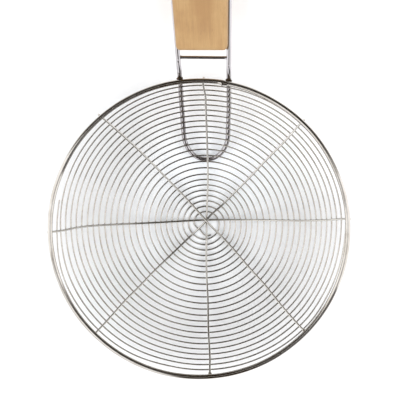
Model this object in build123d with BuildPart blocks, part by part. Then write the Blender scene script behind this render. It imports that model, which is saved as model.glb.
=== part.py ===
from build123d import *
import os
from math import asin, atan2, cos, degrees, radians, sin, sqrt, tan

os.makedirs("parts", exist_ok=True)

# Spiral skimmer with a wooden grip, in millimetres.
# X points right and Y towards the grip, seen from above into the bowl, and Z points up.
# The origin lies on the axis of the rim, on the surface that the bowl stands on.
# Everything is as it was measured on one skimmer, so its hand-set wires are a little uneven.

# Wire sizes
rim_wire = 3.5
frame_wire = 3.4
spoke_wire = 1.4
spiral_wire = 1.0
bar_wire = 2.1
wire_clearance = 0.05
frame_clearance = 0.15

# Bowl
rim_outer_diameter = 200.0
bowl_depth = 32.0
rim_joint_angle = 80.9
rim_joint_swell = 0.25
rim_joint_arc = 1.6

# Spokes: four wires that cross a little off the rim's axis
hub_x = 4.6
hub_y = 1.8
spoke_end_angles = ((3.4, 181.9), (88.1, 274.4), (45.8, 225.9), (131.4, 315.6))
spoke_tip = 0.4
hub_rise_length = 17.0

# Spiral: it runs outwards clockwise, its middle drifts across the bowl, and its turns are
# a little oval and three-cornered
spiral_turns = 24
spiral_start_radius = 7.65
spiral_inner_pitch = 3.67
spiral_inner_turns = 7.2
spiral_outer_pitch = 3.18
spiral_end_inset = 0.5
spiral_end_angle = 168.0
spiral_inner_middle = (3.8, -1.2)
spiral_outer_middle = (2.1, 0.4)
spiral_oval_share = 0.0057
spiral_oval_angle = -15.3
spiral_corner_share = 0.0019
spiral_corner_angle = 30.0
stations_per_turn = 4
gap_samples_per_turn = 72
way_step_share = 0.001

# Handle frame: one closed wire that leans and spreads towards the grip
handle_shift = 7.6
handle_lean_angle = 2.2
leg_spread_angle = 2.45
leg_half_gap_at_rim = 16.2
bend_reach_under_bowl = 55.5
bend_length = 15.5
neck_beyond_rim = 2.0
neck_bend_radius = 12.0
loop_beyond_grip = 24.8
loop_arch_depth = 22.0
leg_weld_radius = 1.9
leg_weld_outside_rim = 1.0
leg_weld_below_rim = 1.7

# Cross bar between the legs
bar_beyond_rim = 14.0

# Grip
grip_beyond_bar = 5.2
grip_length = 150.0
grip_thickness = 12.0
grip_corner_radius = 3.0
grip_edge_radius = 2.0
grip_side_overhang = 0.2
grip_shift = -0.7

# The rim's centre line, and the spheres that the other wires' centre lines lie on
rim_radius = (rim_outer_diameter - rim_wire) / 2
spoke_drop = (rim_wire + spoke_wire) / 2 + wire_clearance
spiral_drop = (spoke_wire + spiral_wire) / 2 + wire_clearance
frame_drop = (spiral_wire + frame_wire) / 2 + frame_clearance
rim_sagitta = bowl_depth - spoke_drop
rim_ball = (rim_radius**2 + rim_sagitta**2) / (2 * rim_sagitta)
spoke_ball = rim_ball + spoke_drop
spiral_ball = spoke_ball + spiral_drop
frame_ball = spiral_ball + frame_drop
ball_height = spiral_ball + spiral_wire / 2
rim_level = ball_height - sqrt(rim_ball**2 - rim_radius**2)
up = Vector(0, 0, 1)

# Where things lie along the handle, from the rim's axis
rim_outer_radius = rim_outer_diameter / 2
bend_bottom_along = rim_outer_radius - bend_reach_under_bowl
bend_start_along = bend_bottom_along + bend_length
neck_start_along = rim_outer_radius + neck_beyond_rim
bar_along = rim_outer_radius + bar_beyond_rim
grip_start_along = bar_along + grip_beyond_bar
grip_end_along = grip_start_along + grip_length
loop_end_along = grip_end_along + loop_beyond_grip


def on_ball(x, y, ball):
    """The point of a sphere below its middle, at one place of the plan."""
    return Vector(x, y, ball_height - sqrt(ball**2 - x**2 - y**2))


def level_way(angle):
    """A level direction, by its angle from X."""
    return Vector(cos(radians(angle)), sin(radians(angle)), 0)


def add_biarc(start, start_way, end, end_way):
    """Adds the two arcs that leave start and reach end along the given ways."""
    chord = end - start
    reach = chord.dot(start_way + end_way)
    turn = 2 * (1 - start_way.dot(end_way))
    root = sqrt(reach**2 + turn * chord.dot(chord))
    leg = chord.dot(chord) / (root + reach)
    middle = (start + end + (start_way - end_way) * leg) / 2
    middle_way = (chord - (start_way + end_way) * leg).normalized()
    TangentArc(start, middle, tangent=start_way)
    TangentArc(middle, end, tangent=middle_way)


def add_route(stations):
    """Adds a smooth run of arcs through points with their ways."""
    for (start, start_way), (end, end_way) in zip(stations, stations[1:]):
        add_biarc(start, start_way, end, end_way)


def section_at(station):
    """The plane square to a route at one of its stations."""
    place, way = station
    return Plane(origin=place, z_dir=way)


# Rim: a ring of wire whose butt-welded ends leave a small swelling.
with BuildPart() as rim_ring:
    joint_way = level_way(rim_joint_angle)
    joint_plane = Plane(origin=up * rim_level, x_dir=joint_way, z_dir=joint_way.cross(up))
    with BuildSketch(joint_plane):
        with Locations((rim_radius, 0)):
            Circle(rim_wire / 2)
    revolve(axis=Axis.Z)
    with BuildSketch(joint_plane):
        with Locations((rim_radius, 0)):
            Circle(rim_wire / 2 + rim_joint_swell)
    revolve(axis=Axis.Z, revolution_arc=rim_joint_arc)

rim_ring.part.label = "rim_ring"
export_step(rim_ring.part, "parts/rim_ring.step")


# Spokes: each bows from rim to rim, and the four climb over one another at the hub.
def spoke_stations(end_angles, layer):
    tip_radius = rim_outer_radius + spoke_tip
    tips = [level_way(angle) * tip_radius for angle in end_angles]
    tip_a, tip_b = [on_ball(tip.X, tip.Y, spoke_ball) for tip in tips]
    hub = on_ball(hub_x, hub_y, spoke_ball)
    bow = ThreePointArc(tip_a, hub, tip_b, mode=Mode.PRIVATE)
    hub_place = bow.param_at_point(hub)
    rise_share = hub_rise_length / bow.length
    before, after = hub_place - rise_share, hub_place + rise_share
    climb = up * layer * (spoke_wire + wire_clearance)
    return [
        (bow @ 0, bow % 0),
        (bow @ before, bow % before),
        (hub + climb, bow % hub_place),
        (bow @ after, bow % after),
        (bow @ 1, bow % 1),
    ]


for layer, end_angles in enumerate(spoke_end_angles):
    name = f"spoke_wire_{layer + 1}"
    stations = spoke_stations(end_angles, layer)
    with BuildPart() as spoke:
        with BuildLine():
            add_route(stations)
        with BuildSketch(section_at(stations[0])):
            Circle(spoke_wire / 2)
        sweep()

    spoke.part.label = name
    export_step(spoke.part, f"parts/{name}.step")


# Spiral: one wire under the spokes, wound with a close pitch first and then a wide one
# that narrows again towards the rim.
spiral_middle_radius = spiral_start_radius + spiral_inner_pitch * spiral_inner_turns
spiral_end_radius = rim_radius - spiral_end_inset
spiral_outer_turns = spiral_turns - spiral_inner_turns
spiral_mean_pitch = (spiral_end_radius - spiral_middle_radius) / spiral_outer_turns
spiral_middle_pitch = 2 * spiral_mean_pitch - spiral_outer_pitch


def spiral_radius(turn):
    if turn <= spiral_inner_turns:
        return spiral_start_radius + spiral_inner_pitch * turn
    outer_turn = turn - spiral_inner_turns
    pitch_loss = (spiral_middle_pitch - spiral_outer_pitch) * outer_turn / spiral_outer_turns / 2
    return spiral_middle_radius + (spiral_middle_pitch - pitch_loss) * outer_turn


def spiral_point(turn):
    radius = spiral_radius(turn)
    drift = (radius / rim_radius) ** 2
    middle_x, middle_y = [
        inner + (outer - inner) * drift
        for inner, outer in zip(spiral_inner_middle, spiral_outer_middle)
    ]
    angle = spiral_end_angle - 360 * (turn - spiral_turns)
    oval = spiral_oval_share * cos(2 * radians(angle - spiral_oval_angle))
    corners = spiral_corner_share * cos(3 * radians(angle - spiral_corner_angle))
    reach = level_way(angle) * radius * (1 + oval + corners)
    return on_ball(middle_x + reach.X, middle_y + reach.Y, spiral_ball)


def spiral_way(turn):
    ahead = spiral_point(turn + way_step_share)
    behind = spiral_point(turn - way_step_share)
    return (ahead - behind).normalized()


spiral_stations = [
    (spiral_point(index / stations_per_turn), spiral_way(index / stations_per_turn))
    for index in range(spiral_turns * stations_per_turn + 1)
]
first_place, first_way = spiral_stations[0]
last_place, last_way = spiral_stations[-1]
first_end = first_place - first_way * spiral_wire
last_end = last_place + last_way * spiral_wire

with BuildPart() as spiral_net:
    with BuildLine():
        Line(first_end, first_place)
        add_route(spiral_stations)
        Line(last_place, last_end)
    with BuildSketch(section_at((first_end, first_way))):
        Circle(spiral_wire / 2)
    sweep()

spiral_net.part.label = "spiral_net"
export_step(spiral_net.part, "parts/spiral_net.step")

samples = [
    spiral_point(index / gap_samples_per_turn)
    for index in range(spiral_turns * gap_samples_per_turn + 1)
]
turn_gaps = [
    (samples[index] - samples[other]).length - spiral_wire
    for index in range(len(samples) - gap_samples_per_turn)
    for other in range(index + gap_samples_per_turn // 2, index + gap_samples_per_turn * 3 // 2)
    if other < len(samples)
]
print("least gap of the spiral to itself, mm:", round(min(turn_gaps), 2))


# Handle frame: the bend lies under the bowl, the legs follow it up and past the rim,
# run along the sides of the grip and close in an arch that the skimmer hangs by.
handle_plane = Plane(
    origin=(handle_shift, 0, 0), x_dir=level_way(handle_lean_angle), z_dir=(0, 0, 1)
)


def at_handle(across, along, height=0):
    """A point by its place across and along the handle."""
    return handle_plane.from_local_coords(Vector(across, along, height))


def handle_way(side):
    """The level way of a leg towards the grip, on side 1 or -1."""
    return level_way(90 + handle_lean_angle - side * leg_spread_angle)


def leg_across(along):
    """Half the distance between the legs' centre lines."""
    return leg_half_gap_at_rim + tan(radians(leg_spread_angle)) * (along - rim_radius)


def on_leg(side, along):
    """A point of a leg's centre line under the bowl, with its way towards the grip."""
    plan = at_handle(side * leg_across(along), along)
    place = on_ball(plan.X, plan.Y, frame_ball)
    way = handle_way(side)
    fall = place.X * way.X + place.Y * way.Y
    slope = fall / (ball_height - place.Z)
    return place, (way + up * slope).normalized()


neck_place, neck_way = on_leg(1, neck_start_along)
neck_slope = asin(neck_way.Z)
neck_rise = neck_bend_radius * (1 - cos(neck_slope))
handle_level = neck_place.Z + neck_rise


def neck_end(side):
    """Where a leg comes level, behind the rim."""
    place, way = on_leg(side, neck_start_along)
    slope = asin(way.Z)
    run = (handle_level - place.Z) * sin(slope) / (1 - cos(slope))
    level = place + handle_way(side) * run
    return Vector(level.X, level.Y, handle_level), handle_way(side)


def level_leg(side, along):
    """A point of a leg's level stretch, with its way towards the far end."""
    return at_handle(side * leg_across(along), along, handle_level), handle_way(side)


def frame_half(side):
    """The stations of one half of the frame, from the bend under the bowl to the arch."""
    bend_plan = at_handle(0, bend_bottom_along)
    bend_bottom = on_ball(bend_plan.X, bend_plan.Y, frame_ball)
    arch_top = at_handle(0, loop_end_along, handle_level)
    outwards = handle_plane.x_dir * side
    under_bowl = [
        (bend_bottom, outwards),
        on_leg(side, bend_start_along),
        on_leg(side, neck_start_along),
        neck_end(side),
    ]
    arch = [level_leg(side, loop_end_along - loop_arch_depth), (arch_top, -outwards)]
    return under_bowl, arch


def leg_weld_place(side):
    """The middle of the weld that ties a leg to the rim."""
    beside_rim = at_handle(side * leg_across(rim_radius), rim_radius)
    weld_radius = rim_outer_radius + leg_weld_outside_rim
    outwards = level_way(degrees(atan2(beside_rim.Y, beside_rim.X)))
    return outwards * weld_radius + up * (rim_level - leg_weld_below_rim)


with BuildPart() as handle_frame:
    for side in (1, -1):
        under_bowl, arch = frame_half(side)
        with BuildLine():
            add_route(under_bowl)
            Line(under_bowl[-1][0], arch[0][0])
            add_route(arch)
        with BuildSketch(section_at(under_bowl[0])):
            Circle(frame_wire / 2)
        sweep()
    with Locations(leg_weld_place(1), leg_weld_place(-1)):
        Sphere(leg_weld_radius)
    with BuildSketch(Plane.XZ):
        with Locations((rim_radius, rim_level)):
            Circle(rim_wire / 2)
    revolve(axis=Axis.Z, mode=Mode.SUBTRACT)

handle_frame.part.label = "handle_frame"
export_step(handle_frame.part, "parts/handle_frame.step")


# Cross bar: a short pin between the legs, just before the grip.
bar_plane = Plane(
    origin=at_handle(0, bar_along, handle_level), z_dir=handle_plane.x_dir
)
bar_half_length = leg_across(bar_along) - frame_wire / 2 - wire_clearance

with BuildPart() as cross_bar:
    with BuildSketch(bar_plane):
        Circle(bar_wire / 2)
    extrude(amount=bar_half_length, both=True)

cross_bar.part.label = "cross_bar"
export_step(cross_bar.part, "parts/cross_bar.step")


# Grip: a flat slab of wood that widens towards its end, with a groove along each side
# that the frame's legs lie in.
grip_base = Plane(
    origin=handle_plane.origin + up * (handle_level - grip_thickness / 2),
    x_dir=handle_plane.x_dir,
    z_dir=(0, 0, 1),
)

with BuildPart() as handle_grip:
    with BuildSketch(grip_base):
        with BuildLine():
            Polyline(
                *[
                    (grip_shift + side * (leg_across(along) + grip_side_overhang), along)
                    for side, along in (
                        (-1, grip_start_along),
                        (1, grip_start_along),
                        (1, grip_end_along),
                        (-1, grip_end_along),
                    )
                ],
                close=True,
            )
        make_face()
        fillet(vertices(), radius=grip_corner_radius)
    extrude(amount=grip_thickness)
    faces_up_down = faces().filter_by(Axis.Z)
    fillet(faces_up_down.edges(), radius=grip_edge_radius)
    for side in (1, -1):
        groove_start, groove_way = level_leg(side, bar_along)
        with BuildSketch(Plane(origin=groove_start, z_dir=groove_way)):
            Circle(frame_wire / 2 + wire_clearance)
        extrude(amount=grip_length + 2 * grip_beyond_bar, mode=Mode.SUBTRACT)

handle_grip.part.label = "handle_grip"
export_step(handle_grip.part, "parts/handle_grip.step")
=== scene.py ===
from math import atan2, cos, hypot, pi, radians, sin, sqrt, tan

import bmesh
import bpy
from mathutils import Matrix, Vector, noise


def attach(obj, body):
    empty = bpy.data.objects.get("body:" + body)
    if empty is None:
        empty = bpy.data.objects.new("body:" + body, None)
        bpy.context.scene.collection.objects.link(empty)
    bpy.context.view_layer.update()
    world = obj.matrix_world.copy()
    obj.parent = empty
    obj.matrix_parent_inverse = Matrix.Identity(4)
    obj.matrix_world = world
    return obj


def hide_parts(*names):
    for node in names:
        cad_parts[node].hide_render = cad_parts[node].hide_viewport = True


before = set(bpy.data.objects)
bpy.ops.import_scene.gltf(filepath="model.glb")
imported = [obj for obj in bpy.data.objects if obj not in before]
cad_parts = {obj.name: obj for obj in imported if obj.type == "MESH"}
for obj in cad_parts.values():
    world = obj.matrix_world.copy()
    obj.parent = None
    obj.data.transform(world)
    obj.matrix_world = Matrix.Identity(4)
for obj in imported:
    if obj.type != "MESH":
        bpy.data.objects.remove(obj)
bpy.context.view_layer.update()

# Rim: one thick stainless wire, bent into a ring whose two ends are butt-welded beside the
# right leg. The weld left a lump, and its heat tinted the wire right at the joint. A broad
# browning to the left of the joint, and a fainter one to its right, is painted dark reflection.
rim_wire_radius = 0.00168
rim_radius = 0.09825
rim_level = 0.03375
rim_ring_radius = 0.09936
rim_middle = Vector((0.00017, -0.00083, 0))
rim_ball = 0.178361
ball_height = 0.182611
rim_joint_angle = 80.9
rim_steps = 540
rim_sides = 32


def level_way(angle):
    """A level direction, by its angle from X in degrees."""
    return Vector((cos(radians(angle)), sin(radians(angle)), 0))


def on_ball(plan, ball, lift=0):
    """The point of one of the bowl's balls over a place of the plan."""
    height = ball_height - sqrt(ball**2 - plan.x**2 - plan.y**2)
    return Vector((plan.x, plan.y, height + lift))


def hump(distance, reach):
    """1 at no distance, falling smoothly to 0 at the reach."""
    share = min(abs(distance) / reach, 1)
    return (1 - share * share) ** 2


def add_node(tree, kind, inputs=None, **settings):
    """Adds a node with its settings, and feeds its inputs from sockets or plain values."""
    node = tree.nodes.new(kind)
    for name, value in settings.items():
        setattr(node, name, value)
    for name, value in (inputs or {}).items():
        if isinstance(value, bpy.types.NodeSocket):
            tree.links.new(value, node.inputs[name])
        else:
            node.inputs[name].default_value = value
    node.location = (len(tree.nodes) * 170, 0)
    return node


def made(tree, kind, inputs=None, **settings):
    """The first output of a new node."""
    return add_node(tree, kind, inputs, **settings).outputs[0]


def calc(tree, operation, *values):
    """The result of a math node on sockets or plain numbers."""
    return made(tree, "ShaderNodeMath", dict(enumerate(values)), operation=operation)


def join_xyz(tree, x, y, z):
    """A vector of three sockets or plain numbers."""
    return made(tree, "ShaderNodeCombineXYZ", {0: x, 1: y, 2: z})


def split_xyz(tree, vector):
    """The three parts of a vector."""
    return add_node(tree, "ShaderNodeSeparateXYZ", {0: vector}).outputs[:3]


def map_range(tree, value, start, end, low=0.0, high=1.0, between="LINEAR"):
    """Low up to the start, high from the end on, and a slope between them."""
    return made(
        tree,
        "ShaderNodeMapRange",
        {"Value": value, "From Min": start, "From Max": end, "To Min": low, "To Max": high},
        interpolation_type=between,
    )


def mix(tree, share, first, second, kind="RGBA", **settings):
    """From the first colour or vector to the second, by a share from 0 to 1."""
    values = {"Factor": share, "A": first, "B": second}
    return add_node(tree, "ShaderNodeMix", values, data_type=kind, **settings).outputs["Result"]


def noise_texture(tree, place, scale, detail, **more):
    """Cloudy noise over a place."""
    values = {"Vector": place, "Scale": scale, "Detail": detail, **more}
    return made(tree, "ShaderNodeTexNoise", values)


def tone_ramp(tree, share, tones):
    """A colour ramp through (position, colour) pairs, its two ends first."""
    ramp = add_node(tree, "ShaderNodeValToRGB", {"Fac": share})
    steps = ramp.color_ramp.elements
    for index, (position, color) in enumerate(tones):
        step = steps[index] if index < 2 else steps.new(position)
        step.position, step.color = position, (*color, 1)
    return ramp.outputs[0]


def start_tree(name, kind, inputs, outputs):
    """A node group with named inputs and outputs: the tree, its inputs' sockets and its end."""
    tree = bpy.data.node_groups.new(name, kind)
    for label, kind_of_value, value in inputs:
        socket = tree.interface.new_socket(
            label, in_out="INPUT", socket_type="NodeSocket" + kind_of_value
        )
        if value is not None:
            socket.default_value = value
    for label, kind_of_value in outputs:
        tree.interface.new_socket(
            label, in_out="OUTPUT", socket_type="NodeSocket" + kind_of_value
        )
    begin = add_node(tree, "NodeGroupInput")
    end = add_node(tree, "NodeGroupOutput")
    return tree, begin.outputs, end.inputs


def run_tree(tree, name, mesh, values):
    """Runs a geometry tree on a mesh, with its named inputs, and keeps the plain result."""
    piece = bpy.data.objects.new(name, mesh)
    bpy.context.collection.objects.link(piece)
    modifier = piece.modifiers.new(name, "NODES")
    modifier.node_group = tree
    sockets = {
        item.name: item.identifier
        for item in tree.interface.items_tree
        if item.item_type == "SOCKET" and item.in_out == "INPUT"
    }
    for label, value in values.items():
        modifier[sockets[label]] = value
    bpy.context.view_layer.update()
    graph = bpy.context.evaluated_depsgraph_get()
    made = bpy.data.meshes.new_from_object(
        piece.evaluated_get(graph), preserve_all_data_layers=True, depsgraph=graph
    )
    made.name = name
    piece.modifiers.remove(modifier)
    piece.data = made
    return piece


def store(tree, geometry, label, value, kind="FLOAT"):
    """Geometry that keeps a value at its points under a name."""
    return made(
        tree,
        "GeometryNodeStoreNamedAttribute",
        {"Geometry": geometry, "Name": label, "Value": value},
        data_type=kind,
        domain="POINT",
    )


def stored(tree, label, kind="FLOAT"):
    """A value that the points keep under a name."""
    return made(tree, "GeometryNodeInputNamedAttribute", {"Name": label}, data_type=kind)


def end_tree(tree, geometry, given, result):
    """Ends a tree: faces smooth, instances made real and the material set."""
    for kind in ("GeometryNodeSetShadeSmooth", "GeometryNodeRealizeInstances"):
        geometry = made(tree, kind, {"Geometry": geometry})
    dressed = {"Geometry": geometry, "Material": given["Material"]}
    tree.links.new(made(tree, "GeometryNodeSetMaterial", dressed), result["Geometry"])
    return tree


def make_wire_tree():
    """A tree that turns a run of points, closed or open, into round wire.

    It keeps each point's tint, from heat and from painted dark reflection, and stores the
    place within the wire, across and along it, for the drawn finish to follow."""
    tree, given, result = start_tree(
        "wire_along_a_run",
        "GeometryNodeTree",
        (
            ("Geometry", "Geometry", None),
            ("Wire Radius", "Float", 0.001),
            ("Sides", "Int", 12),
            ("Material", "Material", None),
        ),
        (("Geometry", "Geometry"),),
    )
    run = made(tree, "GeometryNodeMeshToCurve", {"Mesh": given["Geometry"]})
    run = made(tree, "GeometryNodeSetCurveNormal", {"Curve": run})
    length = add_node(tree, "GeometryNodeSplineParameter").outputs["Length"]
    run = store(tree, run, "run", length)
    section = made(
        tree,
        "GeometryNodeCurvePrimitiveCircle",
        {"Resolution": given["Sides"], "Radius": given["Wire Radius"]},
    )
    place = made(tree, "GeometryNodeInputPosition")
    section = store(tree, section, "across", place, "FLOAT_VECTOR")
    swell = stored(tree, "swell")
    wire = made(
        tree,
        "GeometryNodeCurveToMesh",
        {"Curve": run, "Profile Curve": section, "Scale": swell, "Fill Caps": True},
    )
    across_x, across_y, _ = split_xyz(tree, stored(tree, "across", "FLOAT_VECTOR"))
    wire_place = join_xyz(tree, across_x, across_y, stored(tree, "run"))
    wire = store(tree, wire, "wire_place", wire_place, "FLOAT_VECTOR")
    for spent in ("run", "across", "swell"):
        wire = made(tree, "GeometryNodeRemoveAttribute", {"Geometry": wire, "Name": spent})
    return end_tree(tree, wire, given, result)


wire_tree = make_wire_tree()


def run_of_points(name, places, swell=None, heat=None, closed=False):
    """A mesh of points joined in a row, each with its swell and its tint, from heat and from painted dark
    reflection.
    """
    edges = [(index, index + 1) for index in range(len(places) - 1)]
    if closed:
        edges.append((len(places) - 1, 0))
    mesh = bpy.data.meshes.new(name)
    mesh.from_pydata([tuple(place) for place in places], edges, [])
    for label, values in (("swell", swell or [1] * len(places)), ("heat", heat)):
        attribute = mesh.attributes.new(label, "FLOAT", "POINT")
        if values:
            attribute.data.foreach_set("value", values)
    return mesh


def make_drawn_finish():
    """Masks for drawn wire: fine lines along it, soft dull patches, pits, and a ragged tint from heat and
    from painted dark reflection.
    """
    tree, given, result = start_tree(
        "drawn_wire_finish",
        "ShaderNodeTree",
        (
            ("Line Width", "Float", 0.00012),
            ("Patch Length", "Float", 0.009),
        ),
        [(label, "Float") for label in ("Lines", "Patches", "Pits", "Heat And Reflection")],
    )
    place = add_node(tree, "ShaderNodeAttribute", attribute_name="wire_place")
    x, y, z = split_xyz(tree, place.outputs["Vector"])
    lines = noise_texture(
        tree,
        join_xyz(tree, x, y, calc(tree, "MULTIPLY", z, 0.02)),
        calc(tree, "DIVIDE", 1.0, given["Line Width"]),
        3.0,
        Roughness=0.6,
    )
    patches = noise_texture(
        tree,
        join_xyz(tree, calc(tree, "MULTIPLY", x, 2.5), calc(tree, "MULTIPLY", y, 2.5), z),
        calc(tree, "DIVIDE", 1.0, given["Patch Length"]),
        4.0,
        Roughness=0.55,
        Distortion=0.4,
    )
    solid = add_node(tree, "ShaderNodeTexCoord").outputs["Object"]
    cells = add_node(
        tree, "ShaderNodeTexVoronoi", {"Vector": solid, "Scale": 900.0, "Randomness": 1.0}
    ).outputs["Distance"]
    heat = add_node(tree, "ShaderNodeAttribute", attribute_name="heat").outputs["Fac"]
    ragged = calc(tree, "MULTIPLY_ADD", patches, 0.5, 0.75)
    for label, mask in (
        ("Lines", lines),
        ("Patches", patches),
        ("Pits", map_range(tree, cells, 0.05, 0.22, 1.0, 0.0)),
        ("Heat And Reflection", calc(tree, "MULTIPLY", ragged, heat)),
    ):
        tree.links.new(mask, result[label])
    return tree


def make_heat_and_reflection_tint():
    """The colours that steel takes on beside a weld: straw, brown, then a dull blue-grey. The same
    colours paint dark reflection on the rim and the cross bar.
    """
    tree, given, result = start_tree(
        "heat_and_reflection_tint",
        "ShaderNodeTree",
        (
            ("Steel", "Color", (0.6, 0.58, 0.55, 1)),
            ("Heat And Reflection", "Float", 0.0),
        ),
        (("Color", "Color"),),
    )
    tints = (
        (0.0, (1, 1, 1)),
        (1.0, (0.13, 0.125, 0.14)),
        (0.25, (0.93, 0.82, 0.62)),
        (0.5, (0.52, 0.36, 0.22)),
        (0.75, (0.22, 0.14, 0.09)),
    )
    tint = tone_ramp(tree, given["Heat And Reflection"], tints)
    tinted = mix(tree, 1.0, given["Steel"], tint, blend_type="MULTIPLY")
    tree.links.new(tinted, result["Color"])
    return tree


drawn_finish = make_drawn_finish()
heat_and_reflection_tint = make_heat_and_reflection_tint()


def new_material(name, metallic=0.0):
    """A new material, its nodes and its shader."""
    material = bpy.data.materials.new(name)
    material.use_nodes = True
    shader = material.node_tree.nodes["Principled BSDF"]
    shader.inputs["Metallic"].default_value = metallic
    return material, material.node_tree, shader


def feed_shader(tree, shader, color, roughness, relief, depth):
    """Feeds a shader's colour and roughness, and its normals by a relief of this depth."""
    bump = made(tree, "ShaderNodeBump", {"Strength": 1.0, "Distance": depth, "Height": relief})
    for label, socket in (("Base Color", color), ("Roughness", roughness), ("Normal", bump)):
        tree.links.new(socket, shader.inputs[label])


def steel(name, bright, dull, roughness, line_width, line_depth, patch_length):
    """Drawn stainless wire: bright metal with lines along it, duller in patches."""
    material, tree, shader = new_material(name, metallic=1.0)
    sizes = {"Line Width": line_width, "Patch Length": patch_length}
    finish = add_node(tree, "ShaderNodeGroup", sizes, node_tree=drawn_finish)
    lines, patches, pits, heat = finish.outputs[:4]
    dulled = map_range(tree, patches, 0.38, 0.68)
    metal = mix(tree, dulled, bright, dull)
    tinted = made(tree, "ShaderNodeGroup", {"Steel": metal, "Heat And Reflection": heat}, node_tree=heat_and_reflection_tint)
    rougher = calc(tree, "MULTIPLY_ADD", lines, 0.06, roughness - 0.03)
    rougher = calc(tree, "MULTIPLY_ADD", dulled, 0.03, rougher)
    rougher = calc(tree, "MULTIPLY_ADD", heat, 0.04, rougher)
    relief = calc(tree, "MULTIPLY_ADD", pits, -0.6, lines)
    feed_shader(tree, shader, tinted, rougher, relief, line_depth)
    return material


rim_steel = steel(
    "rim_steel_drawn",
    bright=(0.7, 0.67, 0.63, 1),
    dull=(0.58, 0.54, 0.49, 1),
    roughness=0.05,
    line_width=0.0002,
    line_depth=0.0000006,
    patch_length=0.012,
)

rim_places, rim_swell, rim_heat_and_reflection = [], [], []
for step in range(rim_steps):
    angle = rim_joint_angle + step * 360 / rim_steps
    past_joint = angle - rim_joint_angle
    nearest = past_joint if past_joint < 180 else past_joint - 360
    lump = hump(nearest, 1.3)
    waver = noise.noise(Vector((cos(radians(angle)) * 3, sin(radians(angle)) * 3, 5)))
    # the two ends were pressed together a little out of line
    slip = 0.00016 * hump(nearest, 9) * (1 if nearest > 0 else -1)
    plan = rim_middle + level_way(angle) * (rim_ring_radius + slip + waver * 0.00015)
    rim_places.append(on_ball(plan, rim_ball))
    rim_swell.append(1 + 0.15 * lump)
    # painted dark reflection: a broad browning left of the joint, fainter to its right
    painted_dark_reflection = 0.85 * hump(nearest - 30, 72) if nearest > 0 else 0.5 * hump(nearest, 75)
    # the whole ring has taken on a little colour
    rim_heat_and_reflection.append(max(painted_dark_reflection, 0.95 * hump(nearest, 2.4), 0.3 + 0.16 * waver))
rim_ring = run_tree(
    wire_tree,
    "rim_wire_ring",
    run_of_points("rim_run", rim_places, rim_swell, rim_heat_and_reflection, closed=True),
    {"Wire Radius": rim_wire_radius, "Sides": rim_sides, "Material": rim_steel},
)
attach(rim_ring, "root")
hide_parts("rim_ring")


def lump_mesh(name, middle, ways, sizes, seed, rough=0.14, level=4, wedge=0):
    """A lump of weld metal: a ball stretched along three ways and made uneven.

    A wedge draws its first way's end out to so many times the size, and narrows it."""
    bm = bmesh.new()
    bmesh.ops.create_icosphere(bm, subdivisions=level, radius=1)
    for vertex in bm.verts:
        point = vertex.co.copy()
        uneven = 1 + rough * noise.fractal(point * 1.7 + Vector((seed, 0, 0)), 0.7, 2, 3)
        if wedge and point.x > 0:
            point = Vector((point.x * wedge, point.y * (1 - point.x) ** 1.6, point.z))
        vertex.co = middle + sum(
            (way * (share * size * uneven) for way, share, size in zip(ways, point, sizes)),
            Vector(),
        )
    for face in bm.faces:
        face.smooth = True
    mesh = bpy.data.meshes.new(name)
    bmesh.ops.recalc_face_normals(bm, faces=bm.faces)
    bm.to_mesh(mesh)
    bm.free()
    return mesh


def weld_metal(name, color, edge_color, roughness):
    """Weld metal: heat-browned steel with a fine scale of ripples and specks."""
    material, tree, shader = new_material(name, metallic=1.0)
    solid = add_node(tree, "ShaderNodeTexCoord").outputs["Object"]
    share = map_range(tree, noise_texture(tree, solid, 700.0, 4.0), 0.35, 0.65)
    dull = calc(tree, "MULTIPLY_ADD", share, 0.2, roughness)
    scale = noise_texture(tree, solid, 2600.0, 3.0)
    feed_shader(tree, shader, mix(tree, share, color, edge_color), dull, scale, 0.00005)
    return material


def solid_piece(name, mesh, material):
    """An object of a plain mesh and its material."""
    piece = bpy.data.objects.new(name, mesh)
    mesh.materials.append(material)
    bpy.context.collection.objects.link(piece)
    return piece


joint_metal = weld_metal(
    "joint_weld_metal", (0.07, 0.05, 0.035, 1), (0.03, 0.025, 0.02, 1), roughness=0.2
)
joint_way = level_way(rim_joint_angle)
joint_weld = solid_piece(
    "rim_joint_weld",
    lump_mesh(
        "rim_joint_weld",
        on_ball(rim_middle + joint_way * (rim_ring_radius - 0.0001), rim_ball, 0.0001),
        (joint_way, level_way(rim_joint_angle + 90), Vector((0, 0, 1))),
        (0.00195, 0.0011, 0.00195),
        seed=8.2,
        rough=0.2,
    ),
    joint_metal,
)
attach(joint_weld, "root")

# Spiral net: one thin stainless wire, wound outwards clockwise in some 24 turns. Its inner
# end is a blunt hook, and its outer end is pressed against the turn before it.
spiral_wire_radius = 0.00053
spiral_turns = 24
steps_per_turn = 180


def soft_step(tree, value, start, end, low=0.0, high=1.0):
    """As map_range, with a smooth slope."""
    return map_range(tree, value, start, end, low, high, "SMOOTHSTEP")


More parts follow.
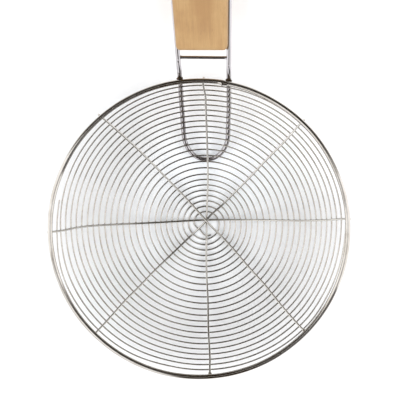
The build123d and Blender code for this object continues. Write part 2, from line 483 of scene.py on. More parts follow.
def make_spiral_tree():
    """The rule that the spiral follows: its turns, pitches, drift and out-of-roundness."""
    sizes = (
        ("Turns", 24.0),
        ("Start Radius", 0.00765),
        ("Inner Pitch", 0.00367),
        ("Inner Turns", 7.2),
        ("Middle Pitch", 0.0044006),
        ("Outer Pitch", 0.00318),
        ("Rim Radius", 0.09825),
        ("End Angle", radians(168)),
        ("Oval Share", 0.0057),
        ("Oval Angle", radians(-15.3)),
        ("Corner Share", 0.0019),
        ("Corner Angle", radians(30)),
        ("Hook Turns", 0.36),
        ("Hook Flat", 0.335),
        ("Tuck Turns", 0.1),
        ("Tuck Depth", 0.0014),
        ("Bulge Angle", radians(220)),
        ("Bulge Width", radians(38)),
        ("Bulge Height", 0.0018),
        ("Bulge Fading", 0.42),
        ("Dent Angle", radians(343)),
        ("Dent Width", radians(24)),
        ("Dent Depth", 0.0012),
        ("Dent Fading", 0.25),
        ("Waver", 0.00022),
        ("Seed", 4.0),
        ("Ball Radius", 0.182111),
        ("Ball Height", 0.182611),
    )
    middles = (("Inner Middle", (0.0038, -0.0012, 0)), ("Outer Middle", (0.0021, 0.0004, 0)))
    tree, given, result = start_tree(
        "spiral_rule",
        "GeometryNodeTree",
        [("Geometry", "Geometry", None), ("Steps per Turn", "Int", 180)]
        + [(label, "Float", value) for label, value in sizes]
        + [(label, "Vector", value) for label, value in middles],
        (("Geometry", "Geometry"),),
    )
    all_turns = calc(tree, "ADD", given["Turns"], given["Hook Turns"])
    count = calc(tree, "MULTIPLY_ADD", all_turns, given["Steps per Turn"], 1.0)
    turn = calc(tree, "DIVIDE", made(tree, "GeometryNodeInputIndex"), given["Steps per Turn"])
    turn = calc(tree, "SUBTRACT", turn, given["Hook Turns"])
    left = calc(tree, "SUBTRACT", given["Turns"], turn)
    # radius: a close even pitch, then a wide one that narrows again
    wound = calc(tree, "MAXIMUM", turn, 0.0)
    inner = calc(tree, "MINIMUM", wound, given["Inner Turns"])
    outer = calc(tree, "SUBTRACT", wound, inner)
    outer_turns = calc(tree, "SUBTRACT", given["Turns"], given["Inner Turns"])
    pitch_loss = calc(tree, "SUBTRACT", given["Middle Pitch"], given["Outer Pitch"])
    pitch_loss = calc(tree, "DIVIDE", pitch_loss, calc(tree, "MULTIPLY", outer_turns, 2.0))
    pitch_loss = calc(tree, "MULTIPLY", pitch_loss, outer)
    outer_pitch = calc(tree, "SUBTRACT", given["Middle Pitch"], pitch_loss)
    radius = calc(tree, "MULTIPLY_ADD", inner, given["Inner Pitch"], given["Start Radius"])
    radius = calc(tree, "MULTIPLY_ADD", outer_pitch, outer, radius)
    # hook: the first third of a turn is nearly straight before its blunt end
    hook = calc(tree, "MAXIMUM", calc(tree, "MULTIPLY", turn, -1.0), 0.0)
    hook_share = calc(tree, "DIVIDE", hook, given["Hook Turns"])
    hook_wave = calc(tree, "SINE", calc(tree, "MULTIPLY", hook_share, pi * 1.1))
    flat = calc(tree, "MULTIPLY", calc(tree, "MULTIPLY", hook_wave, hook_wave), given["Hook Flat"])
    radius = calc(tree, "MULTIPLY_ADD", hook, 0.0015, radius)
    radius = calc(tree, "MULTIPLY", radius, calc(tree, "SUBTRACT", 1.0, flat))
    # tuck: the last stretch is pressed against the turn before it
    tuck = soft_step(tree, left, 0.0, given["Tuck Turns"], given["Tuck Depth"], 0.0)
    radius = calc(tree, "SUBTRACT", radius, tuck)
    # angle, out-of-roundness and the unevenness of winding by hand
    angle = calc(tree, "MULTIPLY_ADD", left, 2 * pi, given["End Angle"])
    shape = 1.0
    for form, peaks in (("Oval", 2.0), ("Corner", 3.0)):
        past_peak = calc(tree, "SUBTRACT", angle, given[f"{form} Angle"])
        wave = calc(tree, "COSINE", calc(tree, "MULTIPLY", past_peak, peaks))
        shape = calc(tree, "MULTIPLY_ADD", wave, given[f"{form} Share"], shape)
    round_x, round_y = calc(tree, "COSINE", angle), calc(tree, "SINE", angle)
    spot = join_xyz(tree, round_x, round_y, calc(tree, "MULTIPLY", turn, 0.5))
    waver = made(
        tree,
        "ShaderNodeTexNoise",
        {"Vector": spot, "W": given["Seed"], "Scale": 1.6, "Detail": 1.0},
        noise_dimensions="4D",
    )
    off = calc(tree, "MULTIPLY", calc(tree, "SUBTRACT", waver, 0.5), 2.0)
    reach = calc(tree, "MULTIPLY", radius, shape)
    reach = calc(tree, "MULTIPLY_ADD", off, given["Waver"], reach)
    # a bulge and a dent in the last turns, fading inwards
    inwards = calc(tree, "MULTIPLY", left, -1.0)
    for form, height, sign in (("Bulge", "Height", 1.0), ("Dent", "Depth", -1.0)):
        aside = calc(tree, "COSINE", calc(tree, "SUBTRACT", angle, given[f"{form} Angle"]))
        edge = calc(tree, "COSINE", given[f"{form} Width"])
        swelling = soft_step(tree, aside, edge, 1.0, 0.0, sign)
        fading = calc(tree, "EXPONENT", calc(tree, "MULTIPLY", inwards, given[f"{form} Fading"]))
        swelling = calc(tree, "MULTIPLY", swelling, fading)
        reach = calc(tree, "MULTIPLY_ADD", swelling, given[f"{form} {height}"], reach)
    # the turns' middle drifts as they widen
    drift = calc(tree, "DIVIDE", radius, given["Rim Radius"])
    drift = calc(tree, "MULTIPLY", drift, drift)
    middle = mix(tree, drift, given["Inner Middle"], given["Outer Middle"], "VECTOR")
    middle_x, middle_y, _ = split_xyz(tree, middle)
    x = calc(tree, "MULTIPLY_ADD", reach, round_x, middle_x)
    y = calc(tree, "MULTIPLY_ADD", reach, round_y, middle_y)
    # height: every turn lies on one ball
    ball = calc(tree, "MULTIPLY", given["Ball Radius"], given["Ball Radius"])
    flat_part = calc(tree, "MULTIPLY_ADD", y, y, calc(tree, "MULTIPLY", x, x))
    drop = calc(tree, "SQRT", calc(tree, "SUBTRACT", ball, flat_part))
    place = join_xyz(tree, x, y, calc(tree, "SUBTRACT", given["Ball Height"], drop))
    run = made(tree, "GeometryNodeMeshLine", {"Count": count, "Offset": (0, 0, 0)})
    run = made(tree, "GeometryNodeSetPosition", {"Geometry": run, "Position": place})
    run = store(tree, run, "swell", 1.0)
    run = store(tree, run, "heat", map_range(tree, left, 0.0, 0.03, 0.55, 0.0))
    tree.links.new(run, result["Geometry"])
    return tree


spiral_run = run_tree(
    make_spiral_tree(),
    "spiral_run",
    bpy.data.meshes.new("spiral_seed"),
    {"Turns": float(spiral_turns), "Steps per Turn": steps_per_turn},
)
spiral_line = [vertex.co.copy() for vertex in spiral_run.data.vertices]
net_steel = steel(
    "net_steel_drawn",
    bright=(0.7, 0.67, 0.63, 1),
    dull=(0.58, 0.54, 0.49, 1),
    roughness=0.08,
    line_width=0.00012,
    line_depth=0.0000008,
    patch_length=0.02,
)
spiral_net = run_tree(
    wire_tree,
    "spiral_net_wire",
    spiral_run.data,
    {"Wire Radius": spiral_wire_radius, "Sides": 12, "Material": net_steel},
)
bpy.data.objects.remove(spiral_run)
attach(spiral_net, "root")
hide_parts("spiral_net")

# Spokes: four stainless wires laid across the bowl over the spiral, bent by hand, stacked
# at the hub and cut off just outside the rim. Each bears on every turn that it crosses.
spoke_wire_radius = 0.0007
spoke_ball = 0.180861
hub = Vector((0.0046, 0.0018, 0))
spoke_climb = 0.00145
hub_rise_length = 0.017
# each arm's tip, by angle and radius, then its kinks: distance from the hub and offset to
# its left; radii, distances and offsets in mm
spoke_arms = (
    (
        (3.4, 101.5, ((30, -0.9), (62.6, -1.7), (80, -1.1), (91, -0.1))),
        (181.9, 101.2, ((33, 0), (50, -0.4), (71, -1.1), (79, -1.25), (86, -1.05), (91, -0.55), (97, 0))),
    ),
    (
        (88.1, 100.8, ((10, -0.6), (29, -1.4), (45, -1.4), (72, -1), (79, -0.9), (86, -0.8), (94, 0.5))),
        (274.4, 100.6, ((8, -0.1), (26, -0.8), (41, -0.8), (52, -0.5), (72, -0.6), (91, 0), (98, -0.2))),
    ),
    (
        (45.8, 101.2, ((4, 0.2), (15, -0.8), (28, -1.1), (41, -1.3), (58, -1), (76, -1), (90, -0.1))),
        (225.9, 101.6, ((4, 0.4), (19, 0.2), (34, -0.1), (50, -0.5), (62, -0.3), (76, -0.6), (90, -0.1))),
    ),
    (
        (131.4, 101.2, ((8, 0), (22, -0.4), (43, -0.7), (67, -1), (90, -0.5))),
        (315.6, 101.0, ((2, -0.3), (25, 0), (42, -0.5), (57, -0.3), (76, -1), (92, -0.7))),
    ),
)


def curve(t, start, start_pull, end, end_pull):
    """A smooth curve from start to end, by t from 0 to 1, leaving and arriving by its pulls."""
    return (
        start * (1 + 2 * t) * (1 - t) ** 2
        + start_pull * t * (1 - t) ** 2
        + end * t * t * (3 - 2 * t)
        - end_pull * t * t * (1 - t)
    )


def smooth_value(knots, x):
    """A smooth curve through knots (x, value) in rising order of x."""
    last = len(knots) - 1
    index = max(i for i in range(last) if knots[i][0] <= x or i == 0)
    (x0, y0), (x1, y1) = knots[index], knots[index + 1]
    xa, ya = knots[max(index - 1, 0)]
    xb, yb = knots[min(index + 2, last)]
    span = x1 - x0
    rise0 = (y1 - ya) / (x1 - xa) * span
    rise1 = (yb - y0) / (xb - x0) * span
    t = min(max((x - x0) / span, 0), 1)
    return curve(t, y0, rise0, y1, rise1)


def arm_line(angle, radius, kinks, layer, step=0.001):
    """The points of one arm of a spoke, from the hub to its tip."""
    tip = level_way(angle) * (radius / 1000)
    reach = (tip - hub).length
    way = (tip - hub).normalized()
    left = Vector((-way.y, way.x, 0))
    knots = [(0, 0)] + [(far / 1000, off / 1000) for far, off in kinks] + [(reach, 0)]
    points = []
    count = round(reach / step)
    for index in range(count + 1):
        far = reach * index / count
        plan = hub + way * far + left * smooth_value(knots, far)
        share = min(far / hub_rise_length, 1)
        climb = layer * spoke_climb * (1 - share * share * (3 - 2 * share))
        points.append(on_ball(plan, spoke_ball, climb))
    return points


spoke_steel = steel(
    "spoke_steel_drawn",
    bright=(0.75, 0.73, 0.69, 1),
    dull=(0.62, 0.59, 0.55, 1),
    roughness=0.08,
    line_width=0.00015,
    line_depth=0.0000012,
    patch_length=0.011,
)
arm_lines = []
for layer, arms in enumerate(spoke_arms):
    lines = [arm_line(*arm, layer) for arm in arms]
    arm_lines += lines
    places = lines[0][::-1] + lines[1][1:]
    swell, heat = [], []
    for place in places:
        far = hypot(place.x, place.y)
        swell.append(1 + 0.12 * hump(far - 0.0995, 0.002))
        heat.append(0.5 * hump(far - 0.1, 0.0035))
    spoke = run_tree(
        wire_tree,
        f"spoke_{layer + 1}",
        run_of_points("spoke_run", places, swell, heat),
        {"Wire Radius": spoke_wire_radius, "Sides": 16, "Material": spoke_steel},
    )
    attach(spoke, "root")
    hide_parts(f"spoke_wire_{layer + 1}")

# Handle frame: one thick stainless wire. Its U bend lies under the spiral, its legs pass
# under the rim, run along both sides of the grip and close in an arch behind it.
frame_wire_radius = 0.0017
frame_ball = 0.184461
handle_level = 0.032654
handle_shift = 0.0076
handle_lean = 2.2
leg_spread = 2.45
leg_half_gap = 0.0162
bend_bottom_along = 0.043
bend_start_along = 0.060
bend_bottom_stray = -0.0009
# how far the right leg, 1, and the left one, -1, stray from straight at the bend and half way up
leg_strays = {1: (-0.0006, 0.0), -1: (-0.0011, -0.0007)}
neck_start_along = 0.102
arch_start_along = 0.272
loop_end_along = 0.294
neck_bend_radius = 0.012


def at_handle(across, along, height=0.0):
    """A point by its place across and along the handle."""
    lean_way = level_way(handle_lean)
    plan = lean_way * across + Vector((-lean_way.y, lean_way.x, 0)) * along
    return Vector((plan.x + handle_shift, plan.y, height))


def leg_way(side):
    """The level way of a leg towards the grip, on side 1 or -1."""
    return level_way(90 + handle_lean - side * leg_spread)


def leg_across(along):
    """Half the distance between the legs' centre lines."""
    return leg_half_gap + tan(radians(leg_spread)) * (along - rim_radius)


def under_bowl(side, along, stray=0.0):
    """A point of a leg under the bowl, with its way towards the grip."""
    place = on_ball(at_handle(side * leg_across(along) + stray, along), frame_ball)
    way = leg_way(side)
    slope = (place.x * way.x + place.y * way.y) / (ball_height - place.z)
    return place, (way + Vector((0, 0, slope))).normalized()


def smooth_run(stations, step=0.0008):
    """Points of a smooth run through stations, each a place and its way."""
    points = [stations[0][0]]
    for (start, way), (end, end_way) in zip(stations, stations[1:]):
        chord = (end - start).length
        bend = way.angle(end_way)
        pull = chord * (1 if bend < 0.01 else 4 * tan(bend / 4) / (2 * sin(bend / 2)))
        count = max(round(chord / step), 2)
        for index in range(1, count + 1):
            points.append(curve(index / count, start, way * pull, end, end_way * pull))
    return points


def leg_run(side):
    """One half of the frame, from the middle of the bend to the top of the arch."""
    bottom = on_ball(at_handle(bend_bottom_stray, bend_bottom_along), frame_ball)
    outwards = level_way(handle_lean) * side
    bend_stray, middle_stray = leg_strays[side]
    neck, neck_way = under_bowl(side, neck_start_along)
    slope = atan2(neck_way.z, hypot(neck_way.x, neck_way.y))
    rise = handle_level - neck.z
    forward = leg_way(side) * (rise * sin(slope) / (1 - cos(slope)))
    neck_end = neck + forward + Vector((0, 0, rise))
    arch_start = at_handle(side * leg_across(arch_start_along), arch_start_along, handle_level)
    top = at_handle(0, loop_end_along, handle_level)
    return smooth_run(
        [
            (bottom, outwards),
            under_bowl(side, bend_start_along, bend_stray),
            under_bowl(side, (bend_start_along + neck_start_along) / 2, middle_stray),
            (neck, neck_way),
            (neck_end, leg_way(side)),
            (arch_start, leg_way(side)),
            (top, -outwards),
        ]
    )


frame_steel = steel(
    "frame_steel_drawn",
    bright=(0.57, 0.55, 0.57, 1),
    dull=(0.5, 0.48, 0.49, 1),
    roughness=0.05,
    line_width=0.0002,
    line_depth=0.0000006,
    patch_length=0.014,
)
frame_line = leg_run(1)[::-1] + leg_run(-1)[1:-1]
frame_heat = []
for place in frame_line:
    far = hypot(place.x, place.y)
    frame_heat.append(0.85 * hump(far - 0.101, 0.0038) if place.y > 0.08 else 0.0)
handle_frame = run_tree(
    wire_tree,
    "handle_frame_wire",
    run_of_points("frame_run", frame_line, None, frame_heat, closed=True),
    {"Wire Radius": frame_wire_radius, "Sides": 28, "Material": frame_steel},
)
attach(handle_frame, "root")
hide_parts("handle_frame")

# Leg welds: where each leg passes under the rim, a run of weld metal fills the corner
# outside it. Heat left it brown and scaly.
weld_names = ("leg_weld_right", "leg_weld_left")
leg_weld_metal = weld_metal(
    "leg_weld_metal", (0.11, 0.075, 0.05, 1), (0.06, 0.045, 0.035, 1), roughness=0.3
)
for name, side in zip(weld_names, (1, -1)):
    beside = at_handle(side * leg_across(rim_radius), rim_radius)
    outwards = Vector((beside.x, beside.y, 0)).normalized()
    sideways = Vector((-outwards.y, outwards.x, 0))
    middle = outwards * 0.1009 + Vector((0, 0, rim_level - 0.001))
    weld = solid_piece(
        name,
        lump_mesh(
            name,
            middle,
            (outwards, sideways, Vector((0, 0, 1))),
            (0.0013, 0.0023, 0.0014),
            seed=side * 3.1,
            wedge=2.3,
        ),
        leg_weld_metal,
    )
    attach(weld, "root")

# Cross bar: a short pin of wire welded between the legs just before the grip, with a bead
# of weld metal at each end.
bar_along = 0.114
bar_radius = 0.00105
bar_half_length = 0.01512
bar_turn = -0.5
bar_middle = at_handle(0, bar_along, handle_level)
bar_shares = [index / 24 - 1 for index in range(49)]
bar_places = [
    bar_middle + level_way(bar_turn) * (share * (bar_half_length + 0.0004))
    for share in bar_shares
]
bar_ends = [abs(share) for share in bar_shares]
cross_bar = run_tree(
    wire_tree,
    "cross_bar_pin",
    run_of_points(
        "bar_run",
        bar_places,
        [1 + 0.15 * max(end - 0.9, 0) * 10 for end in bar_ends],
        # painted dark reflection tints the whole pin darker brown; its welded ends are browner still from
        # their heat
        [0.5 * max(end - 0.8, 0) * 5 + 0.45 for end in bar_ends],
    ),
    {"Wire Radius": bar_radius, "Sides": 24, "Material": frame_steel},
)
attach(cross_bar, "root")
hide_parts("cross_bar")

# Weld beads: the spokes are spot-welded to every turn of the spiral, and the spiral to the
# bend and legs under it. Each weld squeezed out a small flat bead of metal.
bead_radius = 0.00052


def crossings(line, other):
    """Where two runs cross in plan: the point on each."""
    cell = 0.004
    near = {}
    for index, place in enumerate(other[:-1]):
        near.setdefault((int(place.x // cell), int(place.y // cell)), []).append(index)
    around = [(dx, dy) for dx in (-1, 0, 1) for dy in (-1, 0, 1)]
    found = []
    for start, end in zip(line, line[1:]):
        column, row = int(start.x // cell), int(start.y // cell)
        way = end - start
        for index in (i for dx, dy in around for i in near.get((column + dx, row + dy), ())):
            across = other[index + 1] - other[index]
            turn = way.x * across.y - way.y * across.x
            if abs(turn) < 1e-12:
                continue
            gap = other[index] - start
            share = (gap.x * across.y - gap.y * across.x) / turn
            other_share = (gap.x * way.y - gap.y * way.x) / turn
            if 0 <= share < 1 and 0 <= other_share < 1:
                found.append((start + way * share, other[index] + across * other_share))
    return found


def make_bead_tree():
    """A tree that sets a small uneven bead of weld metal at every point."""
    tree, given, result = start_tree(
        "beads_at_points",
        "GeometryNodeTree",
        (
            ("Geometry", "Geometry", None),
            ("Bead Radius", "Float", 0.0005),
            ("Size Spread", "Float", 0.25),
            ("Seed", "Int", 7),
            ("Material", "Material", None),
        ),
        (("Geometry", "Geometry"),),
    )
    bead_size = {"Radius": given["Bead Radius"], "Subdivisions": 2}
    bead = made(tree, "GeometryNodeMeshIcoSphere", bead_size)
    low = calc(tree, "SUBTRACT", 1.0, given["Size Spread"])
    high = calc(tree, "ADD", 1.0, given["Size Spread"])
    size, turn = (
        made(
            tree,
            "FunctionNodeRandomValue",
            {"Min": least, "Max": most, "Seed": given["Seed"]},
            data_type="FLOAT_VECTOR",
        )
        for least, most in (
            (join_xyz(tree, low, low, low), join_xyz(tree, high, high, high)),
            ((0, 0, 0), (0.4, 0.4, 2 * pi)),
        )
    )
    points = made(tree, "GeometryNodeMeshToPoints", {"Mesh": given["Geometry"]})
    beads = made(
        tree,
        "GeometryNodeInstanceOnPoints",
        {"Points": points, "Instance": bead, "Rotation": turn, "Scale": size},
    )
    return end_tree(tree, beads, given, result)


bead_tree = make_bead_tree()
spot_metal = weld_metal(
    "spot_weld_metal", (0.5, 0.46, 0.41, 1), (0.3, 0.26, 0.22, 1), roughness=0.26
)
net_spots = [
    (on_arm + on_net) / 2 for arm in arm_lines for on_arm, on_net in crossings(arm, spiral_line)
]
frame_spots = [
    on_frame * 0.25 + on_net * 0.75 for on_frame, on_net in crossings(frame_line, spiral_line)
]
rim_spots = []
for arm in arm_lines:
    tip = arm[-1]
    inwards = Vector((-tip.x, -tip.y, 0)).normalized()
    rim_spots.append(tip + inwards * 0.0022 + Vector((0, 0, 0.0011)))
for name, spots, radius in (
    ("net_spot_welds", net_spots, bead_radius),
    ("frame_spot_welds", frame_spots, bead_radius * 1.25),
    ("rim_spot_welds", rim_spots, bead_radius * 2.1),
):
    mesh = bpy.data.meshes.new(name)
    mesh.from_pydata([tuple(spot) for spot in spots], [], [])
    beads = run_tree(bead_tree, name, mesh, {"Bead Radius": radius, "Material": spot_metal})
    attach(beads, "root")

# Grip: a flat slab of pale close-grained hardwood, sawn, grooved along both sides for the
# legs, rounded over on the edges and thinly lacquered.
def vector_length(tree, vector):
    """How long a vector is."""
    found = add_node(tree, "ShaderNodeVectorMath", {0: vector}, operation="LENGTH")
    return found.outputs["Value"]


def wood(name):
    """Pale hardwood: long fibres, growth bands, short dark pores, and a thin lacquer."""
    material, tree, shader = new_material(name)
    shader.inputs["Coat Weight"].default_value = 0.25
    shader.inputs["Coat Roughness"].default_value = 0.3
    solid = add_node(tree, "ShaderNodeTexCoord").outputs["Object"]
    grain_turn = (0, 0, radians(-handle_lean - 1.2))
    turned = made(tree, "ShaderNodeMapping", {"Vector": solid, "Rotation": grain_turn})
    long_drawn, short_drawn = (
        made(tree, "ShaderNodeMapping", {"Vector": turned, "Scale": (1, share, 1)})
        for share in (0.035, 0.09)
    )
    fibres = noise_texture(tree, long_drawn, 2600.0, 4.0, Roughness=0.65)
    bands = noise_texture(tree, long_drawn, 260.0, 3.0, Distortion=0.8)
    clouds = noise_texture(tree, turned, 70.0, 3.0)
    tone = calc(tree, "MULTIPLY_ADD", bands, 0.22, calc(tree, "MULTIPLY", fibres, 0.4))
    tone = calc(tree, "MULTIPLY_ADD", clouds, 0.45, tone)
    tones = (
        (0.36, (0.46, 0.268, 0.126)),
        (0.72, (0.65, 0.425, 0.205)),
        (0.54, (0.565, 0.345, 0.157)),
    )
    dark = map_range(tree, noise_texture(tree, short_drawn, 3400.0, 1.0), 0.66, 0.76, 0.0, 0.4)
    color = mix(tree, dark, tone_ramp(tree, tone, tones), (0.3, 0.16, 0.07, 1))
    # a darker, pinker patch where the fibres dip towards the near end
    patch_place = {"Vector": solid, "Location": (-0.3, -9.3, 0), "Scale": (95, 62, 0)}
    patch_far = vector_length(tree, made(tree, "ShaderNodeMapping", patch_place))
    patch_far = calc(tree, "MULTIPLY_ADD", clouds, 1.6, calc(tree, "SUBTRACT", patch_far, 0.8))
    patch = soft_step(tree, patch_far, 0.2, 1.1, 0.7, 0.0)
    color = mix(tree, patch, color, (0.49, 0.28, 0.125, 1))
    dull = calc(tree, "MULTIPLY_ADD", fibres, 0.2, 0.36)
    feed_shader(tree, shader, color, dull, calc(tree, "SUBTRACT", fibres, dark), 0.00004)
    return material


def grip_side(side, along):
    """How far the wood reaches across, on side 1 or -1, before rounding and groove."""
    return side * (leg_across(along) + 0.0002) - 0.0007


def grip_outline(inset):
    """The slab's outline in plan, drawn in by an inset: points across and along the handle."""
    points = []
    for side, end, across_round, along_round in (
        (1, -1, 0.0029, 0.0048),
        (1, 1, 0.003, 0.003),
        (-1, 1, 0.003, 0.003),
        (-1, -1, 0.003, 0.003),
    ):
        along = grip_end if end > 0 else grip_start
        middle = Vector((grip_side(side, along) - side * across_round, along - end * along_round))
        if end < 0:
            # the near end was sawn a little out of square
            middle.y -= tan(radians(handle_lean)) * middle.x
        steps = range(9) if side * end > 0 else range(8, -1, -1)
        arc = [
            middle
            + Vector(
                (
                    side * (across_round - inset) * cos(radians(step * 11.25)),
                    end * (along_round - inset) * sin(radians(step * 11.25)),
                )
            )
            for step in steps
        ]
        if points:
            start = points[-1]
            count = 60 if abs(start.y - arc[0].y) > 0.05 else 12
            points += [start.lerp(arc[0], index / count) for index in range(1, count)]
        points += arc
    start = points[-1]
    points += [start.lerp(points[0], index / 12) for index in range(1, 12)]
    return points


def make_grip():
    """The slab as a stack of outlines, cut back where the legs' grooves are."""
    bm = bmesh.new()
    rings = []
    half = grip_thickness / 2
    groove_mouth = -groove_radius * 0.93
    levels = []
    for turn in range(0, 91, 15):
        rise, inset = 1 - cos(radians(turn)), 1 - sin(radians(turn))
        levels.append((-half + grip_round * rise, grip_round * inset, False))
    levels += [(groove_mouth, 0, False), (groove_mouth, 0, True)]
    levels += [(groove_radius * sin(radians(turn)), 0, True) for turn in range(-60, 1, 15)]
    levels += [(-height, inset, cut) for height, inset, cut in levels[-2::-1]]
    for height, inset, cut in levels:
        ring = []
        for point in grip_outline(inset):
            across, along = point
            if cut:
                deep = leg_across(along) - sqrt(max(groove_radius**2 - height**2, 0))
                across = min(max(across, -deep), deep)
            ring.append(bm.verts.new(at_handle(across, along, handle_level + height)))
        rings.append(ring)
    for lower, upper in zip(rings, rings[1:]):
        for index in range(len(lower)):
            after = (index + 1) % len(lower)
            bm.faces.new((lower[index], lower[after], upper[after], upper[index]))
    bm.faces.new(rings[0][::-1])
    bm.faces.new(rings[-1])
    bmesh.ops.recalc_face_normals(bm, faces=bm.faces)
    for face in bm.faces:
        face.smooth = True
    for edge in bm.edges:
        edge.smooth = len(edge.link_faces) == 2 and edge.calc_face_angle() < radians(32)
    mesh = bpy.data.meshes.new("handle_grip_block")
    bm.to_mesh(mesh)
    bm.free()
    return mesh


grip_start, grip_end = 0.1192, 0.2692
grip_thickness, grip_round, groove_radius = 0.012, 0.002, 0.00175
grip = solid_piece("handle_grip_block", make_grip(), wood("grip_hardwood"))
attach(grip, "root")
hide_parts("handle_grip")

# Floor: a wide white table that the bowl stands on. It isn't part of the skimmer. From
# below it lets the view through.
floor_half, floor_drop = 6.0, -0.0004
floor_corners = [
    (x * floor_half, y * floor_half, floor_drop) for x, y in ((-1, -1), (1, -1), (1, 1), (-1, 1))
]
floor_mesh = bpy.data.meshes.new("white_table")
floor_mesh.from_pydata(floor_corners, [], [(0, 1, 2, 3)])


def bare_material(name):
    """A new material without a shader, and its nodes."""
    material, tree, shader = new_material(name)
    tree.nodes.remove(shader)
    return material, tree


def seen_by_eye(tree):
    """1 on rays from the camera, a mirror or glass, 0 on rays of light."""
    rays = add_node(tree, "ShaderNodeLightPath").outputs
    seen = calc(tree, "MAXIMUM", rays["Is Camera Ray"], rays["Is Glossy Ray"])
    return calc(tree, "MAXIMUM", seen, rays["Is Transmission Ray"])


floor_paint, paint = bare_material("white_table_paint")
# painted light: the table glows for the eye and in mirrors, strongly all around the bowl, hiding
# the grip's shadow, faintly under the bowl, more towards the grip from just left of the middle
# rightwards, lightening the frame's shadow, and bluish under its middle
floor_spot = add_node(paint, "ShaderNodeTexCoord").outputs["Object"]
floor_x, floor_y, _ = split_xyz(paint, floor_spot)
floor_off = vector_length(paint, floor_spot)
painted_light_rightwards = soft_step(paint, floor_x, -0.05, -0.015, 0.02, 0.2)
painted_light_inside = soft_step(paint, floor_y, 0.0, 0.05, 0.02, painted_light_rightwards)
painted_light_strength = calc(
    paint,
    "ADD",
    soft_step(paint, floor_off, 0.09, 0.125, painted_light_inside, 0.3),
    soft_step(paint, floor_off, 0.03, 0.085, 0.05, 0.0),
)
painted_light_strength = calc(paint, "MULTIPLY", seen_by_eye(paint), painted_light_strength)
off_middle = soft_step(paint, floor_off, 0.03, 0.085)
painted_light_tint = mix(paint, off_middle, (0.76, 0.88, 1, 1), (1, 1, 1, 1))
painted_light_glow = made(paint, "ShaderNodeEmission", {"Color": painted_light_tint, "Strength": painted_light_strength})
white = made(paint, "ShaderNodeBsdfDiffuse", {"Color": (0.93, 0.94, 0.955, 1)})
lit = made(paint, "ShaderNodeAddShader", {0: white, 1: painted_light_glow})
clear = made(paint, "ShaderNodeBsdfTransparent")
from_below = add_node(paint, "ShaderNodeNewGeometry").outputs["Backfacing"]
surface = made(paint, "ShaderNodeMixShader", {0: from_below, 1: lit, 2: clear})
paint.links.new(surface, paint.nodes["Material Output"].inputs["Surface"])
floor = solid_piece("white_table", floor_mesh, floor_paint)

# Studio: two soft lamps left and right, and a tent of cloth that the bright wire mirrors:
# white on both sides, dark towards the handle, brown away from it, with a panel overhead.
for name, side, power in (("lamp_left", -1, 10.0), ("lamp_right", 1, 10.0)):
    lamp = bpy.data.lights.new(name, "AREA")
    lamp.shape = "RECTANGLE"
    lamp.size, lamp.size_y = 1.0, 1.4
    lamp.energy = power
    lamp_object = bpy.data.objects.new(name, lamp)
    lamp_object.location = (side * 0.75, -0.2, 1.1)
    lamp_object.rotation_euler = (0, side * radians(34), 0)
    lamp_object.visible_camera = False
    lamp_object.visible_glossy = False
    bpy.context.collection.objects.link(lamp_object)

tent_radius = 1.6
tent_mesh = bpy.data.meshes.new("cloth_tent")
tent_shell = bmesh.new()
bmesh.ops.create_uvsphere(tent_shell, u_segments=48, v_segments=24, radius=tent_radius)
bmesh.ops.bisect_plane(
    tent_shell,
    geom=tent_shell.verts[:] + tent_shell.edges[:] + tent_shell.faces[:],
    plane_co=(0, 0, 0.02),
    plane_no=(0, 0, 1),
    clear_inner=True,
)
tent_shell.to_mesh(tent_mesh)
tent_shell.free()
tent_cloth, cloth = bare_material("tent_cloth")
tent_cloth.cycles.emission_sampling = "NONE"
tent = solid_piece("cloth_tent", tent_mesh, tent_cloth)
for ray in ("camera", "diffuse", "shadow", "transmission"):
    setattr(tent, f"visible_{ray}", False)
tent_place = add_node(cloth, "ShaderNodeTexCoord").outputs["Object"]
tent_unit = {"Vector": tent_place, "Scale": (1 / tent_radius,) * 3}
tent_x, tent_y, tent_z = split_xyz(cloth, made(cloth, "ShaderNodeMapping", tent_unit))
tent_aside = calc(cloth, "ABSOLUTE", tent_x)
# round the walls, by the angle from -X through -Y, +X and +Y
tent_turn = calc(cloth, "ARCTAN2", tent_y, tent_x)
tent_turn = calc(cloth, "MULTIPLY_ADD", tent_turn, 0.5 / pi, 0.5)
tent_walls = tone_ramp(
    cloth,
    tent_turn,
    (
        (0.0, (0.8, 0.8, 0.8)),
        (1.0, (0.8, 0.8, 0.8)),
        (0.07, (0.3, 0.3, 0.3)),
        (0.14, (0.15, 0.15, 0.16)),
        (0.2, (0.2, 0.2, 0.21)),
        (0.235, (0.018, 0.02, 0.026)),
        (0.34, (0.018, 0.02, 0.026)),
        (0.36, (0.12, 0.12, 0.12)),
        (0.4, (0.1, 0.1, 0.1)),
        (0.44, (0.4, 0.4, 0.4)),
        (0.5, (0.8, 0.8, 0.8)),
        (0.54, (0.6, 0.6, 0.6)),
        (0.61, (0.1, 0.09, 0.08)),
        (0.67, (0.12, 0.1, 0.08)),
        (0.71, (0.1, 0.08, 0.055)),
        (0.84, (0.03, 0.022, 0.015)),
        (0.88, (0.06, 0.05, 0.04)),
        (0.94, (0.35, 0.34, 0.33)),
    ),
)
# overhead: dark grey, and paler further off, most of all at the lower left of the picture
over_left = soft_step(cloth, tent_x, -0.1, 0.12)
tent_pale = mix(cloth, over_left, (0.95, 0.95, 0.96, 1), (0.12, 0.12, 0.125, 1))
tent_pale = mix(cloth, soft_step(cloth, tent_aside, 0.09, 0.17), (0.06, 0.055, 0.05, 1), tent_pale)
pale_near = soft_step(cloth, tent_y, -0.18, -0.3)
pale_share = calc(cloth, "ADD", pale_near, soft_step(cloth, tent_y, 0.46, 0.54, 0.0, 0.05))
tent_top = mix(cloth, pale_share, (0.05, 0.045, 0.04, 1), tent_pale)
tent_color = mix(cloth, soft_step(cloth, tent_z, 0.26, 0.34), tent_walls, tent_top)


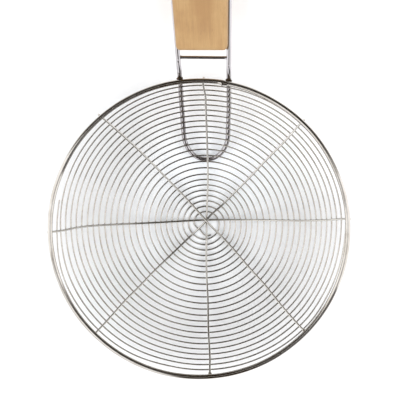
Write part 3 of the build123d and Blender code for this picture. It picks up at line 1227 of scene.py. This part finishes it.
def across_tent(angle):
    """How far a direction lies to the right of a line through the zenith at this angle."""
    off = calc(cloth, "MULTIPLY", tent_y, -cos(radians(angle)))
    return calc(cloth, "MULTIPLY_ADD", tent_x, sin(radians(angle)), off)


def band(value, low, high, soft):
    """1 where the value lies between low and high."""
    rising = soft_step(cloth, value, low, calc(cloth, "ADD", low, soft))
    falling = soft_step(cloth, value, high, calc(cloth, "SUBTRACT", high, soft))
    return calc(cloth, "MULTIPLY", rising, falling)


def sheet(rows, columns):
    """1 on an oblong sheet, by its edges along and across the handle, each pair with its softness."""
    return calc(cloth, "MULTIPLY", band(tent_y, *rows), band(tent_x, *columns))


# overhead a long white panel from side to side, then what covers it: the camera's arm and
# stand, a window between them, and a dark cover towards the handle
panel_far = calc(cloth, "MULTIPLY_ADD", tent_aside, -0.28, -0.1)
panel_near = calc(cloth, "MULTIPLY_ADD", tent_aside, 0.3, 0.13)
panel_near = calc(cloth, "MULTIPLY_ADD", tent_x, 0.06, panel_near)
stand_far = calc(cloth, "ABSOLUTE", across_tent(8))
stand_taper = calc(cloth, "MAXIMUM", calc(cloth, "SUBTRACT", stand_far, 0.3), 0.0)
stand_edge = calc(cloth, "MULTIPLY_ADD", stand_taper, -1.4, 0.42)
stand_edge = calc(cloth, "MAXIMUM", stand_edge, 0.17)
for shown, tone in (
    (band(across_tent(-4), panel_far, panel_near, 0.06), (1, 1, 1, 1)),
    (sheet((-0.24, 0.0, 0.02), (-0.34, 0.38, 0.04)), (0.045, 0.022, 0.008, 1)),
    (band(across_tent(98), -0.15, stand_edge, 0.05), (0.03, 0.02, 0.012, 1)),
    (sheet((-0.16, -0.06, 0.02), (-0.22, 0.26, 0.04)), (0.9, 0.9, 0.92, 1)),
    (sheet((-0.02, 0.5, 0.06), (-0.35, 0.4, 0.08)), (0.02, 0.018, 0.015, 1)),
):
    tent_color = mix(cloth, shown, tent_color, tone)
tent_glow = made(cloth, "ShaderNodeEmission", {"Color": tent_color, "Strength": 1.4})
cloth.links.new(tent_glow, cloth.nodes["Material Output"].inputs["Surface"])

world = bpy.data.worlds.new("white_room")
world.use_nodes = True
bpy.context.scene.world = world
room = world.node_tree
backdrop = room.nodes["Background"]
backdrop.inputs["Color"].default_value = (1, 1, 1, 1)
strength = calc(room, "MULTIPLY_ADD", seen_by_eye(room), 0.6, 0.4)
room.links.new(strength, backdrop.inputs["Strength"])

# Camera: nearly straight above the bowl, tipped a little towards the grip, far enough away
# that the rim shows as a circle, and framed as in the photograph.
view_way = Vector((0.01876, 0.109, 0.9939)).normalized()
view_distance = 4.0
frame_width = 0.26674
camera = bpy.data.cameras.new("camera")
camera.sensor_width = 36
camera.lens = 36 * view_distance / frame_width
camera.clip_end = 60
camera_object = bpy.data.objects.new("camera", camera)
bpy.context.collection.objects.link(camera_object)
image_up = (Vector((0, 1, 0)) - view_way * view_way.y).normalized()
image_right = image_up.cross(view_way)
aim = Vector((0, 0, rim_level)) + image_right * 0.000894 + image_up * 0.01858
camera_object.location = aim + view_way * view_distance
camera_object.rotation_mode = "QUATERNION"
camera_turn = Matrix((image_right, image_up, view_way)).transposed()
camera_object.rotation_quaternion = camera_turn.to_quaternion()
bpy.context.scene.camera = camera_object
bpy.context.scene.view_settings.view_transform = "Standard"

bpy.context.view_layer.update()
